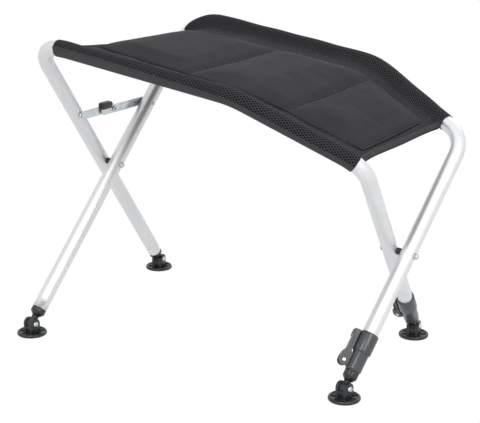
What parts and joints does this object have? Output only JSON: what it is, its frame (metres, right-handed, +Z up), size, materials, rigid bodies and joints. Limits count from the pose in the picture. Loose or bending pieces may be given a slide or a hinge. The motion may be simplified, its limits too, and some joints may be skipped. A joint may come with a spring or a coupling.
{
  "type": "folding ottoman footstool",
  "caption": "Folding outdoor footstool: crossed tube frames, a padded fabric sling, a folding stay, swivel feet and lengthening legs.",
  "frame": {"origin": "on the floor, under the middle of the stool's bounding box", "axes": "+X along the rails towards the legs that lengthen, +Z up, -Y the near side"},
  "size_m": [0.616, 0.4052, 0.453],
  "materials": {
    "tube_aluminium": "satin anodised",
    "zinc_steel": "zinc plated",
    "black_plastic": "moulded nylon, fine grain",
    "grey_plastic": "moulded glass-filled nylon, satin",
    "mesh_fabric": "charcoal spacer mesh",
    "sleeve_fabric": "charcoal woven tape and plain cloth"
  },
  "bodies": {
    "near_frame": {"near_frame": "tube_aluminium", "near_sleeve": "sleeve_fabric", "leg_plug_far_left": "black_plastic", "clamp_housing_far_right": "grey_plastic", "clamp_pin_far_right": "zinc_steel", "pivot_bolt_left": "zinc_steel", "pivot_bolt_right": "zinc_steel", "pivot_nut_left": "zinc_steel", "pivot_nut_right": "zinc_steel", "pivot_spacer_left": "black_plastic", "pivot_spacer_right": "black_plastic", "stay_rivet_near": "zinc_steel", "sling": "mesh_fabric", "seat_pad": "mesh_fabric", "end_binding_left": "sleeve_fabric", "end_binding_right": "sleeve_fabric"},
    "far_frame": {"far_frame": "tube_aluminium", "far_sleeve": "sleeve_fabric", "leg_plug_near_left": "black_plastic", "clamp_housing_near_right": "grey_plastic", "clamp_pin_near_right": "zinc_steel", "stay_rivet_far": "zinc_steel"},
    "stay_near": {"stay_bar_near": "zinc_steel"},
    "stay_far": {"stay_bar_far": "zinc_steel", "stay_centre_rivet": "zinc_steel", "stay_washer": "zinc_steel", "stay_knob": "black_plastic"},
    "extension_far_right": {"inner_tube_far_right": "tube_aluminium", "extension_plug_far_right": "black_plastic"},
    "extension_near_right": {"inner_tube_near_right": "tube_aluminium", "extension_plug_near_right": "black_plastic"},
    "lever_far_right": {"clamp_lever_far_right": "grey_plastic"},
    "lever_near_right": {"clamp_lever_near_right": "grey_plastic"},
    "foot_far_left": {"foot_far_left": "black_plastic", "foot_screw_far_left": "zinc_steel"},
    "foot_near_left": {"foot_near_left": "black_plastic", "foot_screw_near_left": "zinc_steel"},
    "foot_far_right": {"foot_far_right": "black_plastic", "foot_screw_far_right": "zinc_steel"},
    "foot_near_right": {"foot_near_right": "black_plastic", "foot_screw_near_right": "zinc_steel"}
  },
  "joints": [
    {"name": "frame_fold", "type": "hinge", "parent": "near_frame", "child": "far_frame", "pos_m": [-0.24457, -0.00134, 0.234], "axis": [0.9936, 0, -0.1132], "range_deg": [0, 64], "deforming": ["sling", "seat_pad", "end_binding_left", "end_binding_right"]},
    {"name": "stay_near_turn", "type": "hinge", "parent": "near_frame", "child": "stay_near", "pos_m": [-0.23401, -0.07259, 0.31978], "axis": [0.9936, 0, -0.1132], "range_deg": [0, 110.5]},
    {"name": "stay_far_turn", "type": "hinge", "parent": "far_frame", "child": "stay_far", "pos_m": [-0.23401, 0.0699, 0.31978], "axis": [0.9936, 0, -0.1132], "range_deg": [-110.5, 0]},
    {"name": "leg_slide_far_right", "type": "slide", "parent": "near_frame", "child": "extension_far_right", "axis": [-0.1116, 0.6359, -0.7637], "range_m": [0, 0.08]},
    {"name": "leg_slide_near_right", "type": "slide", "parent": "far_frame", "child": "extension_near_right", "axis": [-0.1116, -0.6359, -0.7637], "range_m": [0, 0.08]},
    {"name": "lever_turn_far_right", "type": "hinge", "parent": "near_frame", "child": "lever_far_right", "pos_m": [0.21326, 0.11011, 0.04378], "axis": [-0.0027, -0.7687, -0.6397], "range_deg": [0, 105]},
    {"name": "lever_turn_near_right", "type": "hinge", "parent": "far_frame", "child": "lever_near_right", "pos_m": [0.24578, -0.11868, 0.05039], "axis": [0.6002, -0.6556, 0.4582], "range_deg": [0, 105]},
    {"name": "foot_tilt_far_left", "type": "hinge", "parent": "near_frame", "child": "foot_far_left", "pos_m": [-0.28569, 0.18022, 0.017], "axis": [0.9892, 0.1466, 0], "range_deg": [-25, 80]},
    {"name": "foot_tilt_near_left", "type": "hinge", "parent": "far_frame", "child": "foot_near_left", "pos_m": [-0.25688, -0.18022, 0.017], "axis": [0.9892, -0.1466, 0], "range_deg": [-80, 25]},
    {"name": "foot_tilt_far_right", "type": "hinge", "parent": "extension_far_right", "child": "foot_far_right", "pos_m": [0.22746, 0.13234, 0.017], "axis": [0.9849, 0.1729, 0], "range_deg": [-25, 80]},
    {"name": "foot_tilt_near_right", "type": "hinge", "parent": "extension_near_right", "child": "foot_near_right", "pos_m": [0.25635, -0.13233, 0.017], "axis": [0.9849, -0.1729, 0], "range_deg": [-80, 25]}
  ],
  "couplings": [
    {"joint": "stay_near_turn", "follows": "frame_fold", "ratio": 1.7213},
    {"joint": "stay_far_turn", "follows": "frame_fold", "ratio": -1.7213}
  ]
}
